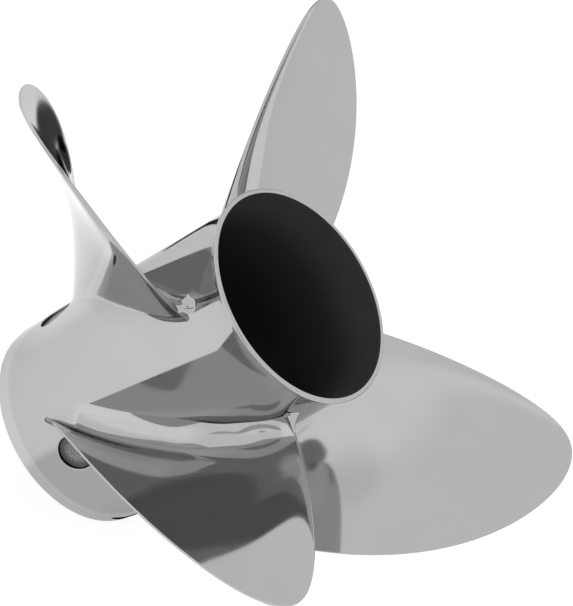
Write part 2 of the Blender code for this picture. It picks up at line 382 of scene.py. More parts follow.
# %% Blade section
CHORD_POINTS = 56
EDGE_POINTS = 9
NOSE_FILLET = 6.0
FACE_FILLET = 27.0
TAIL_FILLET = 18.0
EDGE_FILLET = 3.0
BACK_FILLET = 10.0
MEETING_ANGLE = 26.0
MEETING_ANGLE_AFT = 38.0
FILLET_RISE = 0.72

chord_places = 0.5 - 0.5 * np.cos(np.linspace(0, math.pi, CHORD_POINTS))


def flat_section(chord, u):
    """Outline of a section in the flat, driving face first; u is 0 at the root and 1 at the tip."""
    c = chord_places
    thickest = TIP_THICKNESS + (ROOT_THICKNESS - TIP_THICKNESS) * (1 - u) ** 1.1
    trailing = TRAILING_EDGE + (TRAILING_EDGE_ROOT - TRAILING_EDGE) * (1 - u) ** 8
    edge = LEADING_EDGE + (trailing - LEADING_EDGE) * c
    thick = edge + np.clip(thickest - edge, 0, None) * (4 * c * (1 - c)) ** 1.4
    cup_length = CUP_LENGTH + (CUP_LENGTH_ROOT - CUP_LENGTH) * (1 - u) ** 1.5
    cup = CUP_HEIGHT * (1 - u**6) * (c ** (chord / cup_length) - c**1.6)
    # c * (1 - c)**2 is 4 / 27 at its highest, so this is HOLLOW deep at the root.
    hollow = HOLLOW * (1 - u**3) * 27 / 4 * c * (1 - c) ** 2
    line = np.stack([c * chord, cup - hollow + edge / 2 - thick / 2], -1)
    along = np.gradient(line, axis=0)
    along /= np.linalg.norm(along, axis=1)[:, None]
    normal = np.stack([-along[:, 1], along[:, 0]], -1)
    face = line + normal * thick[:, None] / 2
    back = line - normal * thick[:, None] / 2
    turns = np.radians(np.linspace(90, -90, EDGE_POINTS + 2)[1:-1])[:, None]
    cosine, sine = np.cos(turns), np.sin(turns)
    square = np.sign(sine) * np.abs(sine) ** 0.6
    end = line[-1] + along[-1] * 0.2 * trailing * cosine ** 0.6 + normal[-1] * trailing / 2 * square
    nose = line[0] - along[0] * LEADING_EDGE / 2 * cosine - normal[0] * LEADING_EDGE / 2 * sine
    return np.concatenate([face, end, back[::-1], nose])


def root_fillet():
    """The root fillet at each point of a section: its spread, its rise and where it meets the face."""
    c = chord_places
    face_spread = NOSE_FILLET + (FACE_FILLET - NOSE_FILLET) * soft_step(c, 0, 0.14)
    face_spread += (TAIL_FILLET - FACE_FILLET) * soft_step(c, 0.8, 1)
    back_spread = EDGE_FILLET + (BACK_FILLET - EDGE_FILLET) * (soft_step(c, 0.3, 0.55) - soft_step(c, 0.7, 1))
    end_spread = np.linspace(face_spread[-1], back_spread[-1], EDGE_POINTS)
    nose_spread = np.linspace(back_spread[0], face_spread[0], EDGE_POINTS)
    spread = np.concatenate([face_spread, end_spread, back_spread[::-1], nose_spread])
    rest = len(spread) - CHORD_POINTS
    meeting = MEETING_ANGLE + (MEETING_ANGLE_AFT - MEETING_ANGLE) * soft_step(c, 0.55, 0.8)
    face_meet = np.cos(np.radians(meeting))
    meet = np.concatenate([face_meet, np.full(rest, face_meet[0])])
    face_rise = FILLET_RISE + (1 - FILLET_RISE) * soft_step(c, 0.5, 0.8)
    rise = spread * np.concatenate([face_rise, np.linspace(1, face_rise[0], rest)])
    return spread, rise, meet


def outward_normals(outline):
    """Unit normals of a closed outline in the flat, pointing away from the metal."""
    along = np.roll(outline, -1, 0) - np.roll(outline, 1, 0)
    along /= np.linalg.norm(along, axis=1)[:, None]
    return np.stack([-along[:, 1], along[:, 0]], -1)


# %% Blade surface
FILLET_ROWS = 24
BLADE_ROWS = 84
FILLET_TOP = 23.5
FOLLOW_REACH = 30.0
ROOT_DEPTH = 1.2
LAST_PLACE = 0.015

fillet_spread, fillet_rise, fillet_meet = root_fillet()


def blade_row(depth_or_w, is_depth, tip_angle):
    """One closed ring of the blade, at a depth over the barrel or at a place along the outline."""
    if is_depth:
        reach = max(depth_or_w, 0)
        w = place_of_reach(reach)
    else:
        w = depth_or_w
        reach = outline_reach(w)
    nominal = FRONT_RADIUS + reach
    climb = PITCH / (2 * math.pi) / nominal
    slant = math.hypot(1, climb)
    start, end = outline_angle(-w), outline_angle(w)
    chord = math.radians(end - start) * nominal * slant
    outline = flat_section(chord, reach / SPAN)
    room = np.clip(fillet_meet - reach / fillet_rise, 0, None)
    flare = fillet_spread * (1 - np.sqrt(1 - room**2))
    outline = outline + outward_normals(outline) * flare[:, None]
    turn = (outline[:, 0] - outline[:, 1] * climb) / slant / nominal
    z = face_height(nominal, start) + (outline[:, 0] * climb + outline[:, 1]) / slant
    follow = max(1 - reach / FOLLOW_REACH, 0)
    radius = nominal + (barrel_radius(z) - FRONT_RADIUS) * follow
    if is_depth and depth_or_w < 0:
        radius = radius + depth_or_w
    return polar(radius, tip_angle + start + np.degrees(turn), z)


def blade(number):
    """One blade: rows up the fillet, then rows to the tip, closed at the tip and in the barrel wall."""
    tip_angle = FIRST_TIP_ANGLE + 360 / BLADES * number
    turns = np.linspace(0, math.pi / 2, FILLET_ROWS)
    depths = [-ROOT_DEPTH, *(FILLET_TOP * (1 - np.cos(turns)))]
    places = np.linspace(place_of_reach(FILLET_TOP), LAST_PLACE, BLADE_ROWS)[1:]
    rows = [blade_row(depth, True, tip_angle) for depth in depths]
    rows += [blade_row(w, False, tip_angle) for w in places]
    count = len(rows[0])
    faces = grid_faces(len(rows), count) + tip_faces((len(rows) - 1) * count)
    points, foot = close_foot(np.concatenate(rows), count)
    return piece(f"blade_casting_{number + 1}", points, faces + foot, [f"blade_{number + 1}"],
                 60)


def section_sides():
    """Numbers of a section's points: face and back from nose to tail, then trailing edge and nose."""
    face = np.arange(CHORD_POINTS)
    end = CHORD_POINTS + np.arange(EDGE_POINTS)
    back = CHORD_POINTS + EDGE_POINTS + face[::-1]
    nose = 2 * CHORD_POINTS + EDGE_POINTS + np.arange(EDGE_POINTS)
    return face, back, end, nose


def whole(numbers):
    """Point numbers as a face holds them."""
    return tuple(int(i) for i in numbers)


def tip_faces(base):
    """Faces that join the two sides of the last section, point for point."""
    face, back, end, nose = (base + part for part in section_sides())
    faces = [whole((face[i], face[i + 1], back[i + 1], back[i])) for i in range(CHORD_POINTS - 1)]
    return faces + [whole((face[-1], *end, back[-1])), whole((back[0], *nose, face[0]))]


def close_foot(points, count, across=8):
    """Close the foot inside the barrel wall with a skin bent like the wall: all points, and its faces."""
    ring = points[:count]
    angle = np.unwrap(np.arctan2(ring[:, 1], ring[:, 0]))
    radius = np.hypot(ring[:, 0], ring[:, 1])
    face, back, end, nose = section_sides()
    columns = [face]
    made = [points]
    for k in range(1, across):
        part = k / across
        turn = angle[face] + (angle[back] - angle[face]) * part
        z = ring[face, 2] + (ring[back, 2] - ring[face, 2]) * part
        reach = radius[face] + (radius[back] - radius[face]) * part
        made.append(polar(reach, np.degrees(turn), z))
        columns.append(len(points) + (k - 1) * CHORD_POINTS + face)
    columns.append(back)
    faces = []
    for left, right in zip(columns, columns[1:]):
        faces += [whole((left[i + 1], left[i], right[i], right[i + 1])) for i in range(CHORD_POINTS - 1)]
    faces.append(whole([column[-1] for column in columns] + list(end[::-1])))
    faces.append(whole([column[0] for column in columns[::-1]] + list(nose[::-1])))
    return np.concatenate(made), faces


blades = [blade(number) for number in range(BLADES)]

# %% [markdown]
# ## Vent plugs
#
# Each vent is closed by a push-in plastic plug, which is drilled or left out to let exhaust gas bleed over
# the blades. A flange catches inside the wall, a stem fills the hole, and the face, a little below the
# metal, has a rim, a groove and a low dome left by the mould. It is turned from a profile round its own
# axis, and its object is then placed in the wall, so that its material can count rings from that axis.

# %% Vent plugs
PLUG_FACE = 55.6
PLUG_FLANGE_RADIUS = 11.3
PLUG_FLANGE_ROUND = 0.4
PLUG_STEM_RADIUS = 9.5
PLUG_STEM_ROUND = 0.5
PLUG_DOME_RADIUS = 5.6
PLUG_DOME_RISE = 0.25


def disc(profile, steps):
    """A solid turned from (r, z) points that start and end on its own axis: points and faces."""
    rings = profile[1:-1]
    points, faces = turned(rings, steps)
    faces = faces[:-steps]
    ends = np.array([(0, 0, profile[0][1]), (0, 0, profile[-1][1])])
    first, last = len(points), len(points) + 1
    top = (len(rings) - 1) * steps
    for i in range(steps):
        j = (i + 1) % steps
        faces.append((first, j, i))
        faces.append((last, top + i, top + j))
    return np.concatenate([points, ends]), faces


def outward(angle, height):
    """Places a turned piece with its own axis pointing away from the shaft at this angle and height."""
    lift = Matrix.Translation((0, 0, height * MM))
    return Matrix.Rotation(math.radians(angle), 4, "Z") @ lift @ Matrix.Rotation(math.radians(90), 4, "Y")


def vent_plug(number):
    """A plug turned from (r, z) points, with z counted from its face."""
    inner_end = [(0, -4.8), (8.2, -4.8), (8.6, -5.0)]
    flange = arc(PLUG_FLANGE_RADIUS - PLUG_FLANGE_ROUND, -4.6, PLUG_FLANGE_ROUND, -90, 0, 4)
    flange += arc(PLUG_FLANGE_RADIUS - PLUG_FLANGE_ROUND, -3.8, PLUG_FLANGE_ROUND, 0, 90, 4)
    stem = [(PLUG_STEM_RADIUS, -3.4)]
    stem += arc(PLUG_STEM_RADIUS - PLUG_STEM_ROUND, -PLUG_STEM_ROUND, PLUG_STEM_ROUND, 0, 90, 6)
    groove = [(7.6, -0.05), (7.3, -0.35), (6.5, -0.35), (6.2, -0.1)]
    dome = [(r, -0.1 - PLUG_DOME_RISE * (r / PLUG_DOME_RADIUS) ** 2)
            for r in np.linspace(PLUG_DOME_RADIUS, 1.6, 9)]
    mould_mark = [(1.3, -0.3), (0.9, -0.3), (0.7, -0.15), (0, -0.15)]
    profile = [(r, PLUG_FACE + z) for r, z in inner_end + flange + stem + groove + dome + mould_mark]
    points, faces = disc(profile, 96)
    made = piece(f"vent_plug_cap_{number + 1}", points, faces, [f"vent_plug_{number + 1}"],
                 30)
    made.matrix_world = outward(VENT_ANGLE + 360 / BLADES * number, VENT_HEIGHT)
    return made


plugs = [vent_plug(number) for number in range(BLADES)]

# %% [markdown]
# ## The inner hub and its ribs
#
# Inside the barrel the casting has a smaller tube, the hub, which four webs carry, and the exhaust passes
# between them. A casting has no sharp corners: the mouth of the hub is rounded, each web grows into both
# walls with a fillet, and its edges are full rounds, so that the gas and the molten metal flow past. A rib is
# a grid again: along it, one closed section after another, thicker near the walls.

# %% Inner hub and ribs
HUB_RADIUS = 33.0
HUB_BORE = 27.0
HUB_FRONT = 12.0
HUB_BACK = 90.0
HUB_ROUND = 2.0
RIB_ANGLE = 8.4
RIB_THICKNESS = 6.0
RIB_FRONT = 22.0
RIB_BACK = 78.0
RIB_FILLET = 4.0
RIB_GAP = 0.05
RIB_STEPS = 40
RIB_ROUND_STEPS = 8
RIB_ROWS = 22


def tube(name, outer, bore, front, back, rounding, node, steps=160, rows=24):
    """A tube whose four corners are rounded."""
    profile = arc(outer - rounding, front + rounding, rounding, -90, 0, 6)
    profile += [(outer, z) for z in np.linspace(front + rounding, back - rounding, rows)[1:-1]]
    profile += arc(outer - rounding, back - rounding, rounding, 0, 90, 6)
    profile += arc(bore + rounding, back - rounding, rounding, 90, 180, 6)
    profile += [(bore, z) for z in np.linspace(back - rounding, front + rounding, rows)[1:-1]]
    profile += arc(bore + rounding, front + rounding, rounding, 180, 270, 6)
    points, faces = turned(profile, steps)
    return piece(name, points, faces, [node], 50)


def rib_section(half):
    """Points (across, height) round a rib with this half thickness: a slot shape with round ends."""
    ends = RIB_THICKNESS / 2
    back = RIB_BACK + half - 2 * ends
    front = RIB_FRONT - half + 2 * ends
    turns = np.linspace(-math.pi / 2, math.pi / 2, 2 * RIB_ROUND_STEPS + 1)
    section = [(half * math.sin(t), back + ends * math.cos(t)) for t in turns]
    section += [(half, z) for z in np.linspace(back, front, RIB_ROWS)[1:-1]]
    section += [(-half * math.sin(t), front - ends * math.cos(t)) for t in turns]
    section += [(-half, z) for z in np.linspace(front, back, RIB_ROWS)[1:-1]]
    return np.array(section).T


def rib(number):
    """One web from the hub to the barrel: sections along the radius, thicker near both walls."""
    inner, outer = HUB_RADIUS + RIB_GAP, BARREL_BORE - RIB_GAP
    rows = []
    for part in np.linspace(0, 1, RIB_STEPS + 1):
        radius = inner + (outer - inner) * (0.5 - 0.5 * math.cos(math.pi * part))
        room = max(1 - min(radius - inner, outer - radius) / RIB_FILLET, 0)
        half = RIB_THICKNESS / 2 + RIB_FILLET * (1 - math.sqrt(1 - room * room))
        across, height = rib_section(half)
        rows.append(np.stack([np.sqrt(radius**2 - across**2), across, height], -1))
    count = len(rows[0])
    faces = [face[::-1] for face in grid_faces(len(rows), count)]
    faces += end_cap(0, count, 1) + end_cap((len(rows) - 1) * count, count, -1)
    turn = math.radians(RIB_ANGLE + 360 / BLADES * number)
    spin = np.array([[math.cos(turn), math.sin(turn), 0], [-math.sin(turn), math.cos(turn), 0], [0, 0, 1]])
    return piece(f"rib_casting_{number + 1}", np.concatenate(rows) @ spin, faces, [f"rib_{number + 1}"],
                 50)


def end_cap(base, count, order):
    """Faces across the end of a rib, from the back of its section to the front."""
    middle = RIB_ROUND_STEPS
    pairs = [(middle - k, middle + k) for k in range(1, count // 2)]
    faces = [(middle, *pairs[0])]
    faces += [(a[0], b[0], b[1], a[1]) for a, b in zip(pairs, pairs[1:])]
    faces.append((pairs[-1][0], middle + count // 2, pairs[-1][1]))
    return [tuple(base + i % count for i in face[::order]) for face in faces]


inner_hub = tube("inner_hub_casting", HUB_RADIUS, HUB_BORE, HUB_FRONT, HUB_BACK, HUB_ROUND,
                 "inner_hub")
ribs = [rib(number) for number in range(BLADES)]

# %% [markdown]
# ## The bushing and the splined core
#
# The bushing is a ring of rubber moulded round the metal core and pressed into the hub. It drives the blades,
# and it slips if they strike a rock, so that the gears survive. The core is brass, with fifteen splines
# broached along its bore. Each spline has sloping flanks and small rounds, drawn by a formula of the angle.

# %% Bushing and core
CORE_RADIUS = 17.5
CORE_FRONT = 9.0
CORE_BACK = 93.0
CORE_ROUND = 0.8
SPLINES = 15
SPLINE_OUTER = 15.4
SPLINE_INNER = 13.6
SPLINE_FLANK = 0.45
SPLINE_BEVEL = 1.4
BUSHING_INSET = 3.0
BUSHING_ROUND = 1.8
CLEARANCE = 0.3

bushing = tube("rubber_bushing", HUB_BORE - CLEARANCE, CORE_RADIUS + CLEARANCE, HUB_FRONT + BUSHING_INSET,
               HUB_BACK - BUSHING_INSET, BUSHING_ROUND, "bushing")


def spline_bore(angle, widen):
    """The core's bore round the shaft: a row of teeth with sloping flanks."""
    tooth = soft_step(np.cos(np.radians(angle * SPLINES)), -SPLINE_FLANK, SPLINE_FLANK)
    return np.maximum(SPLINE_OUTER - (SPLINE_OUTER - SPLINE_INNER) * tooth, SPLINE_INNER + widen)


def splined_core(per_spline=24):
    """The core: a round outside and a splined bore that is bevelled at both mouths."""
    angles = np.arange(SPLINES * per_spline) * 360 / (SPLINES * per_spline)
    profile = arc(CORE_RADIUS - CORE_ROUND, CORE_FRONT + CORE_ROUND, CORE_ROUND, -90, 0, 4)
    profile += arc(CORE_RADIUS - CORE_ROUND, CORE_BACK - CORE_ROUND, CORE_ROUND, 0, 90, 4)
    rings = [(r * np.ones(len(angles)), z) for r, z in profile]
    depths = (0, 0.5, 1.0, SPLINE_BEVEL)
    rings += [(spline_bore(angles, SPLINE_BEVEL - depth), CORE_BACK - depth) for depth in depths]
    rings += [(spline_bore(angles, SPLINE_BEVEL - depth), CORE_FRONT + depth) for depth in depths[::-1]]
    points = np.concatenate([polar(r, angles, z) for r, z in rings])
    faces = grid_faces(len(rings), len(angles), wrap_rows=True)
    return piece("brass_splined_core", points, faces, ["splined_core"], 30)


core = splined_core()

# %% [markdown]
# ## The camera
#
# The propeller stands on its front rim. The photograph looks down on the outlet from one side, through a
# long lens, with the camera rolled so that the barrel lies across the picture. The camera is placed by its
# turn round the shaft, its rise over the floor and its roll, which came from fitting the outlet, the rim
# and the blade edges.

# %% Camera
CAMERA_TURN = -140.09
CAMERA_RISE = 37.55
CAMERA_ROLL = 59.98
CAMERA_DISTANCE = 2.786
AIM_HEIGHT = 0.1605
LENS = 323.7

turn, rise = math.radians(CAMERA_TURN), math.radians(CAMERA_RISE)
back = Vector((math.cos(turn) * math.cos(rise), math.sin(turn) * math.cos(rise), math.sin(rise)))
camera_data = bpy.data.cameras.new("camera")
camera_data.lens = LENS
camera_data.sensor_width = 36
camera_data.clip_end = 100
camera = bpy.data.objects.new("camera", camera_data)
bpy.context.scene.collection.objects.link(camera)
level = (-back).to_track_quat("-Z", "Y").to_matrix().to_4x4()
rolled = level @ Matrix.Rotation(math.radians(CAMERA_ROLL), 4, "Z")
camera.matrix_world = Matrix.Translation(Vector((0, 0, AIM_HEIGHT)) + back * CAMERA_DISTANCE) @ rolled
bpy.context.scene.camera = camera
print("camera at", [round(v, 3) for v in camera.matrix_world.translation])


# %% [markdown]
# ## Materials
#
# Colours are written as sRGB hex values, as a paint chart gives them, and one function turns them into the
# linear values that the renderer works in. Another adds a node with its settings and its links, and four
# short ones add noise, a range, a blend of colours and bumps. So each finish reads as a short list of what
# it is made of.


# %% Material helpers
def linear(hex_colour):
    """Linear RGBA from an sRGB hex colour."""
    values = [int(hex_colour[i:i + 2], 16) / 255 for i in (1, 3, 5)]
    return [v / 12.92 if v <= 0.04045 else ((v + 0.055) / 1.055) ** 2.4 for v in values] + [1]


def add(tree, kind, links=(), **settings):
    """Add a node. Settings are its properties or sockets; links pairs a socket with an output."""
    node = tree.nodes.new(kind)
    for name, value in settings.items():
        label = name.replace("_", " ")
        if hasattr(node, name):
            setattr(node, name, value)
        else:
            node.inputs[label].default_value = value
    for socket, source in dict(links).items():
        tree.links.new(source, node.inputs[socket])
    return node


def place_on(tree):
    """Where a point lies on its object, in metres."""
    return add(tree, "ShaderNodeTexCoord").outputs["Object"]


def noise(tree, place, size, detail=2.0, roughness=0.5):
    """Noise with features about as large as the size, in metres."""
    made = add(tree, "ShaderNodeTexNoise", {"Vector": place},
               Scale=1 / size, Detail=detail, Roughness=roughness)
    return made.outputs[0]


def ranged(tree, value, low, high, **settings):
    """The value between low and high as 0 to 1, or to what the settings say."""
    made = add(tree, "ShaderNodeMapRange", {"Value": value}, From_Min=low, From_Max=high, **settings)
    return made.outputs[0]


def blend(tree, factor, first, second):
    """A colour from the first, a hex value or an output, to the second, a hex value."""
    links = {"Factor": factor} if isinstance(first, str) else {"Factor": factor, 6: first}
    made = add(tree, "ShaderNodeMix", links, data_type="RGBA")
    if isinstance(first, str):
        made.inputs[6].default_value = linear(first)
    made.inputs[7].default_value = linear(second)
    return made.outputs[2]


def bumps(tree, height, distance, strength):
    """Normals bent by a height."""
    made = add(tree, "ShaderNodeBump", {"Height": height}, Distance=distance, Strength=strength)
    return made.outputs[0]


def new_finish(name):
    """A new material and its empty node tree."""
    made = bpy.data.materials.new(name)
    made.use_nodes = True
    made.node_tree.nodes.clear()
    return made, made.node_tree


def close_finish(tree, shader):
    """Make the shader the material's surface."""
    output = tree.nodes.new("ShaderNodeOutputMaterial")
    tree.links.new(shader.outputs[0], output.inputs["Surface"])


# %% [markdown]
# ## Polished stainless steel
#
# The outside is investment-cast stainless steel, ground and then buffed to a mirror. Such steel gives back
# about half of the light, a little grey beside chrome. Buffing never leaves it quite flat: it keeps a slow
# waviness of a few centimetres, which bends straight reflections, and it is a touch duller in places. Both
# come from noise at those real sizes. The height is two hundredths of a millimetre, because a mirror shows
# a tenth of a degree.


# %% Polished stainless steel
WAVE_LENGTH = 0.030
WAVE_HEIGHT = 0.00002
DULL_PATCH = 0.045

polished_steel, tree = new_finish("polished_stainless_steel")
place = place_on(tree)
dents = bumps(tree, noise(tree, place, WAVE_LENGTH, 1.0), WAVE_HEIGHT, 1.0)
patches = noise(tree, place, DULL_PATCH, 3.0)
dullness = ranged(tree, patches, 0.35, 0.7, To_Min=0.05, To_Max=0.09)
greys = blend(tree, ranged(tree, patches, 0.3, 0.7), "#B9B9B8", "#B6B6B7")
steel = add(tree, "ShaderNodeBsdfPrincipled", {"Base Color": greys, "Roughness": dullness, "Normal": dents},
            Metallic=1.0)
steel.inputs["Specular Tint"].default_value = linear("#DDDDDD")
close_finish(tree, steel)

# %% [markdown]
# ## Black coating
#
# The exhaust passages aren't polished. They keep the fine grain of the casting under a thin black coat, and
# exhaust soot dulls it further. So this is a dark paint over a cast texture, a grain of about one
# millimetre, with a soft gloss that comes and goes. Towards the outlet it is painted greyer: a painted
# sheen, standing for the light that reaches in at the mouth.


# %% Black coating
CAST_GRAIN = 0.0011
GRAIN_HEIGHT = 0.00012
SOOT_CLOUD = 0.018
# The painted sheen near the outlet rises between these two heights.
PAINTED_SHEEN_START = 0.1
PAINTED_SHEEN_END = 0.171

black_coating, tree = new_finish("black_coated_casting")
place = place_on(tree)
pits = bumps(tree, noise(tree, place, CAST_GRAIN, 3.0, 0.6), GRAIN_HEIGHT, 0.6)
soot = noise(tree, place, SOOT_CLOUD, 4.0)
sooty = blend(tree, ranged(tree, soot, 0.35, 0.65), "#212122", "#161617")
height = add(tree, "ShaderNodeSeparateXYZ", {"Vector": place}).outputs["Z"]
# Greyer towards the outlet: a painted sheen for the light that reaches in at the mouth.
painted_outlet_sheen = blend(tree, ranged(tree, height, PAINTED_SHEEN_START, PAINTED_SHEEN_END), sooty, "#3B3B3D")
gloss = ranged(tree, soot, 0.3, 0.7, To_Min=0.36, To_Max=0.55)
coat = add(tree, "ShaderNodeBsdfPrincipled", {"Base Color": painted_outlet_sheen, "Roughness": gloss, "Normal": pits})
close_finish(tree, coat)

for made in [barrel, *blades]:
    made.data.materials.append(polished_steel)
for made in [inner_hub, *ribs]:
    made.data.materials.append(black_coating)
barrel.data.materials.append(black_coating)
inside = 0
for face in barrel.data.polygons:
    middle = face.center / MM
    reach = math.hypot(middle.x, middle.y)
    wall = (barrel_radius(middle.z) + barrel_bore(middle.z)) / 2
    if reach < wall and middle.z < LENGTH - LIP_EDGE / 2:
        face.material_index = 1
        inside += 1
print("coated faces inside the barrel:", inside)

# %% [markdown]
# ## Moulded plastic of the plugs
#
# The plugs are injection-moulded polypropylene, which leaves the mould black and satin. Salt, scale and
# polish settle in its rings and dry there as pale specks. Towards the middle the specks are painted paler
# and denser: a painted highlight of the low dome. The rings are counted from the plug's own axis, a
# millimetre and a half apart, and the specks are half a millimetre wide.

# %% Moulded plastic
SPECK = 0.0005
PLUG_RING = 0.0015
RING_SHARE = 0.06
RING_HEIGHT = 0.0001
# These radii bound the painted highlight of the dome: none outside the first, full inside the second.
HIGHLIGHT_OUTER_RADIUS = 0.0092
HIGHLIGHT_INNER_RADIUS = 0.0035

moulded_plastic, tree = new_finish("moulded_polypropylene")
place = place_on(tree)
flat = add(tree, "ShaderNodeVectorMath", {0: place}, operation="MULTIPLY")
flat.inputs[1].default_value = (1, 1, 0)
reach = add(tree, "ShaderNodeVectorMath", {0: flat.outputs[0]}, operation="LENGTH").outputs["Value"]
specks = noise(tree, place, SPECK, 2.0, 0.6)
turns = add(tree, "ShaderNodeMath", {0: reach}, operation="MULTIPLY")
turns.inputs[1].default_value = 2 * math.pi / PLUG_RING
rings = add(tree, "ShaderNodeMath", {0: turns.outputs[0]}, operation="SINE")
dust = add(tree, "ShaderNodeMath", {0: rings.outputs[0], 2: specks}, operation="MULTIPLY_ADD")
dust.inputs[1].default_value = RING_SHARE
dusty = ranged(tree, dust.outputs[0], 0.38, 0.66)
# Paler towards the middle: a painted highlight of the low dome, laid over the specks.
middle = ranged(tree, reach, HIGHLIGHT_OUTER_RADIUS, HIGHLIGHT_INNER_RADIUS, interpolation_type="SMOOTHSTEP")
thick = add(tree, "ShaderNodeMath", {0: middle, 1: dusty}, operation="MULTIPLY")
colour = blend(tree, thick.outputs[0], "#3A3A3B", "#A3A2A0")
grooves = bumps(tree, dust.outputs[0], RING_HEIGHT, 0.7)
plastic = add(tree, "ShaderNodeBsdfPrincipled", {"Base Color": colour, "Normal": grooves}, Roughness=0.42)
close_finish(tree, plastic)

# %% [markdown]
# ## Rubber
#
# The bushing is natural rubber, black from the soot mixed into it. It is cured in a steel mould, so it is
# smooth but matt, and handling leaves greyish rubbed places a centimetre or two across.

# %% Rubber
RUBBED_PLACE = 0.014
PORE = 0.0008
PORE_DEPTH = 0.00005

cured_rubber, tree = new_finish("cured_rubber")
place = place_on(tree)
rubbed = ranged(tree, noise(tree, place, RUBBED_PLACE, 4.0), 0.4, 0.7)
colour = blend(tree, rubbed, "#1C1C1C", "#2B2A29")
skin = bumps(tree, noise(tree, place, PORE), PORE_DEPTH, 0.5)
rubber = add(tree, "ShaderNodeBsdfPrincipled", {"Base Color": colour, "Normal": skin}, Roughness=0.7)
close_finish(tree, rubber)

# %% [markdown]
# ## Machined brass
#
# The core is turned from naval brass. The lathe leaves fine rings, one for each turn's feed, about half a
# millimetre apart here so that they show, and salt water browns it in clouds. A wave texture draws the
# rings. At scale 1 its waves are 0.314 apart, so its scale is that spacing over the feed.

# %% Machined brass
FEED = 0.0005
FEED_DEPTH = 0.00002
WAVE_SPACING = 0.314
TARNISH_CLOUD = 0.012

machined_brass, tree = new_finish("machined_brass")
place = place_on(tree)
lathe = add(tree, "ShaderNodeTexWave", {"Vector": place}, bands_direction="Z", Scale=WAVE_SPACING / FEED,
            Distortion=0.4)
cut_rings = bumps(tree, lathe.outputs["Fac"], FEED_DEPTH, 0.6)
tarnish = ranged(tree, noise(tree, place, TARNISH_CLOUD, 4.0), 0.4, 0.68)
colour = blend(tree, tarnish, "#CFAE62", "#A07C3C")
gloss = ranged(tree, tarnish, 0, 1, To_Min=0.24, To_Max=0.42)
brass = add(tree, "ShaderNodeBsdfPrincipled", {"Base Color": colour, "Roughness": gloss, "Normal": cut_rings},
            Metallic=1.0)
close_finish(tree, brass)

for made in plugs:
    made.data.materials.append(moulded_plastic)
bushing.data.materials.append(cured_rubber)
core.data.materials.append(machined_brass)
finishes = (polished_steel, black_coating, moulded_plastic, cured_rubber, machined_brass)
print("finishes:", ", ".join(finish.name for finish in finishes))

# %% [markdown]
# ## The light
#
# A mirror shows its surroundings, so the surroundings are the most of this picture. The propeller stands on
# a white table in a white tent, and nearly everything that it shows is white, once, twice or three times
# reflected: each reflection takes half of the light, which gives the light, middle and dark greys. The rest
# are soft patches: two brighter parts of the tent's front, a dimmer one above them, and a dimmer band low on
# one side. A patch is an ellipse in direction, drawn in the sky by one helper.


# %% Sky of the tent
def soft_patch(tree, position, centre, turn, half_sizes, edge):
    """1 inside an ellipsoid round a point, 0 outside, and a soft edge as wide as the given share of it."""
    here = add(tree, "ShaderNodeMapping", {"Vector": position}, vector_type="TEXTURE",
               Location=centre, Rotation=turn, Scale=half_sizes)
    away = add(tree, "ShaderNodeVectorMath", {0: here.outputs[0]}, operation="LENGTH").outputs["Value"]
    return ranged(tree, away, 1 + edge, 1 - edge, interpolation_type="SMOOTHSTEP")


def add_patches(tree, position, level, patches):
    """A level of light, changed by each patch in turn."""
    total = None
    for centre, turn, half_sizes, edge, change in patches:
        links = {0: soft_patch(tree, position, centre, turn, half_sizes, edge)}
        if total:
            links[2] = total.outputs[0]
        total = add(tree, "ShaderNodeMath", links, operation="MULTIPLY_ADD")
        total.inputs[1].default_value = change
        if len(links) == 1:
            total.inputs[2].default_value = level
    return total.outputs[0]


def sky_patch(azimuth, elevation, half_width, half_height, edge, change):
    """A patch round a direction, with its half sizes in degrees."""
    turn, rise = math.radians(azimuth), math.radians(elevation)
    centre = (math.cos(turn) * math.cos(rise), math.sin(turn) * math.cos(rise), math.sin(rise))
    sizes = (1, math.sin(math.radians(half_width)), math.sin(math.radians(half_height)))
    return centre, (0, -rise, turn), sizes, edge, change


SKY_LEVEL = 0.96
SKY_PATCHES = [
    sky_patch(186, 51, 14, 5, 0.5, -0.12),
    sky_patch(185, 9, 36, 16, 0.4, 0.2),
    sky_patch(228, 48, 26, 13, 0.4, 0.13),
    sky_patch(90, -6, 24, 5, 0.4, -0.4),
]
world = bpy.data.worlds.new("tent")
world.use_nodes = True
tree = world.node_tree
direction = add(tree, "ShaderNodeTexCoord").outputs["Generated"]
sky = tree.nodes["Background"]
tree.links.new(add_patches(tree, direction, SKY_LEVEL, SKY_PATCHES), sky.inputs["Strength"])
sky.inputs["Color"].default_value = (1, 1, 1, 1)
bpy.context.scene.world = world
bpy.context.scene.view_settings.view_transform = "Standard"
print("sky patches:", len(SKY_PATCHES))

# %% [markdown]
# ## The table
#
# The table is opal acrylic lit from below, so the ground is white with only a faint shadow. Over it lies one
# sheet that only mirror rays meet, and its patches darken or brighten what lies under it. Some are dark cards
# out of view, as a photographer lays them to draw an edge: they make the thin dark outlines that part bright
# metal from a bright ground. The others are painted light and shade on the ground: a painted contact shadow
# under the front rim, a painted shadow of a blade beside the hub, a painted pool of light near the barrel
# and a brighter painted disc round the barrel's foot.


# %% Table, cards and painted light and shade
TABLE_HALF_WIDTH = 30.0
TABLE_CLOUD = 1 / 3
TABLE_GLOW = 0.79
SHEET_HALF_WIDTH = 2.0
SHEET_HEIGHT = 0.0004


def flat_square(name, half, height, finish):
    """A level square round the shaft axis, in metres."""
    data = bpy.data.meshes.new(name)
    corners = [(-half, -half, height), (half, -half, height), (half, half, height), (-half, half, height)]
    data.from_pydata(corners, [], [(0, 1, 2, 3)])
    data.materials.append(finish)
    made = bpy.data.objects.new(name, data)
    bpy.context.scene.collection.objects.link(made)
    return made


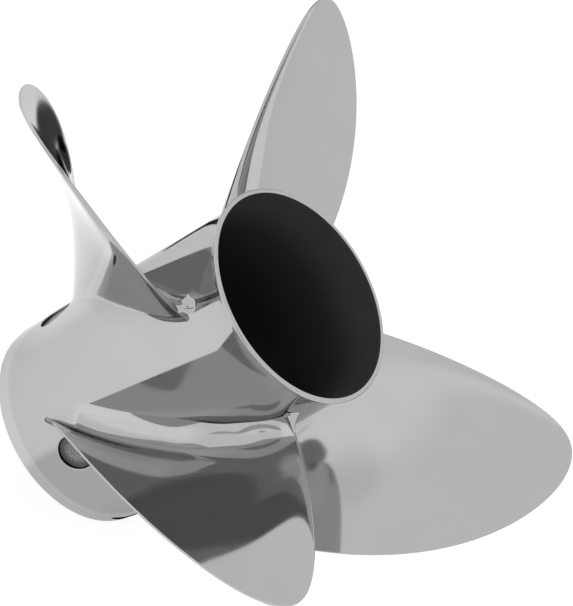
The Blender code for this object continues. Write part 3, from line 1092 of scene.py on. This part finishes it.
def mirror_only(made):
    """Let only mirror rays meet it."""
    made.visible_camera = False
    made.visible_diffuse = False
    made.visible_transmission = False
    made.visible_shadow = False


def table_patch(x, y, half_length, half_width, turn, edge, change):
    """A patch of the table, in millimetres, turned by degrees."""
    half_sizes = (half_length * MM, half_width * MM, 1)
    return (x * MM, y * MM, 0), (0, 0, math.radians(turn)), half_sizes, edge, change


opal, tree = new_finish("opal_acrylic")
tint = blend(tree, noise(tree, place_on(tree), TABLE_CLOUD), "#959595", "#989898")
shader = add(tree, "ShaderNodeBsdfPrincipled", {"Base Color": tint}, Roughness=0.7)
shader.inputs["Emission Color"].default_value = (1, 1, 1, 1)
shader.inputs["Emission Strength"].default_value = TABLE_GLOW
close_finish(tree, shader)
flat_square("table", TABLE_HALF_WIDTH, 0, opal)

TABLE_LEVEL = 1.03
TABLE_PATCHES = [
    table_patch(500, 400, 200, 270, 41, 0.15, -1.0),
    # Painted pool of light on the table near the barrel.
    table_patch(-22, 85, 50, 40, 20, 0.5, 0.3),
    # Painted shadow of a blade on the table beside the hub.
    table_patch(17, -112, 75, 90, 46, 0.06, -0.28),
    # Painted brighter disc round the foot of the barrel.
    table_patch(0, 0, 65.3, 65.3, 0, 0.03, 0.15),
    # Painted contact shadow under the front rim.
    table_patch(33, -48.5, 12.5, 2.2, 34, 0.15, -1.1),
    table_patch(70.9, 240, 61, 18.4, 45.1, 0.16, -0.98),
    table_patch(41.2, 192.1, 36, 12.2, 38.4, 0.05, -1.0),
]
# One mirror-only sheet: dark cards, plus painted light and shade on the table.
cards_painted_light_and_shade, tree = new_finish("cards_and_painted_light_and_shade_on_the_table")
level = add_patches(tree, place_on(tree), TABLE_LEVEL, TABLE_PATCHES)
dim = add(tree, "ShaderNodeClamp", {"Value": level})
glow = add(tree, "ShaderNodeMath", {0: level}, operation="SUBTRACT", use_clamp=True)
glow.inputs[1].default_value = 1.0
through = add(tree, "ShaderNodeBsdfTransparent", {"Color": dim.outputs[0]})
light = add(tree, "ShaderNodeEmission", {"Strength": glow.outputs[0]})
both = add(tree, "ShaderNodeAddShader", {0: through.outputs[0], 1: light.outputs[0]})
close_finish(tree, both)
mirror_only(flat_square("cards_painted_light_and_shade", SHEET_HALF_WIDTH, SHEET_HEIGHT, cards_painted_light_and_shade))
print("table patches:", len(TABLE_PATCHES))

# %% [markdown]
# ## Nets
#
# Three nets stand between the tent and the propeller, about 100 mm or more from it: frames of black gauze,
# as a photographer hangs them to hold back a light. One deepens the grey of the nearest blade's face, one
# the barrel behind the left blade, and a small dense one the root of the right blade. They aren't part of
# the propeller. They are ellipses of see-through black whose edges fade, and like the cards only mirror
# rays meet them.


# %% Nets
def gauze(name, passed):
    """Black gauze that lets this share of the light pass, with edges that fade."""
    made, tree = new_finish(name)
    away = add(tree, "ShaderNodeVectorMath", {0: place_on(tree)}, operation="LENGTH").outputs["Value"]
    light = ranged(tree, away, 0.8, 1.0, interpolation_type="SMOOTHSTEP", To_Min=passed, To_Max=1.0)
    close_finish(tree, add(tree, "ShaderNodeBsdfTransparent", {"Color": light}))
    return made


half_gauze = gauze("half_black_gauze", 0.55)
dense_gauze = gauze("dense_black_gauze", 0.22)


def net(name, centre, azimuth, elevation, half_width, half_height, roll, cloth):
    """A net in millimetres that faces a direction, rolled in its own plane."""
    made = flat_square(name, 1.0, 0.0, cloth)
    mirror_only(made)
    turn = Matrix.Rotation(math.radians(azimuth), 4, "Z")
    rise = Matrix.Rotation(math.radians(90 - elevation), 4, "Y")
    spin = Matrix.Rotation(math.radians(roll), 4, "Z")
    size = Matrix.Diagonal((half_height * MM, half_width * MM, 1, 1))
    made.matrix_world = Matrix.Translation(Vector(centre) * MM) @ turn @ rise @ spin @ size
    return made


nets = [
    net("net_by_the_near_blade", (-122.5, -216.2, 277.1), 215, 40, 162, 31, 18, half_gauze),
    net("net_by_the_left_blade", (-40.7, 344.8, 109.8), 68, 10, 235.8, 103.1, -9.1, half_gauze),
    net("net_over_the_right_blade", (-114.7, -115.9, 284.9), 205, 42, 37.5, 24.3, -7.1, dense_gauze),
]
print("nets:", len(nets))
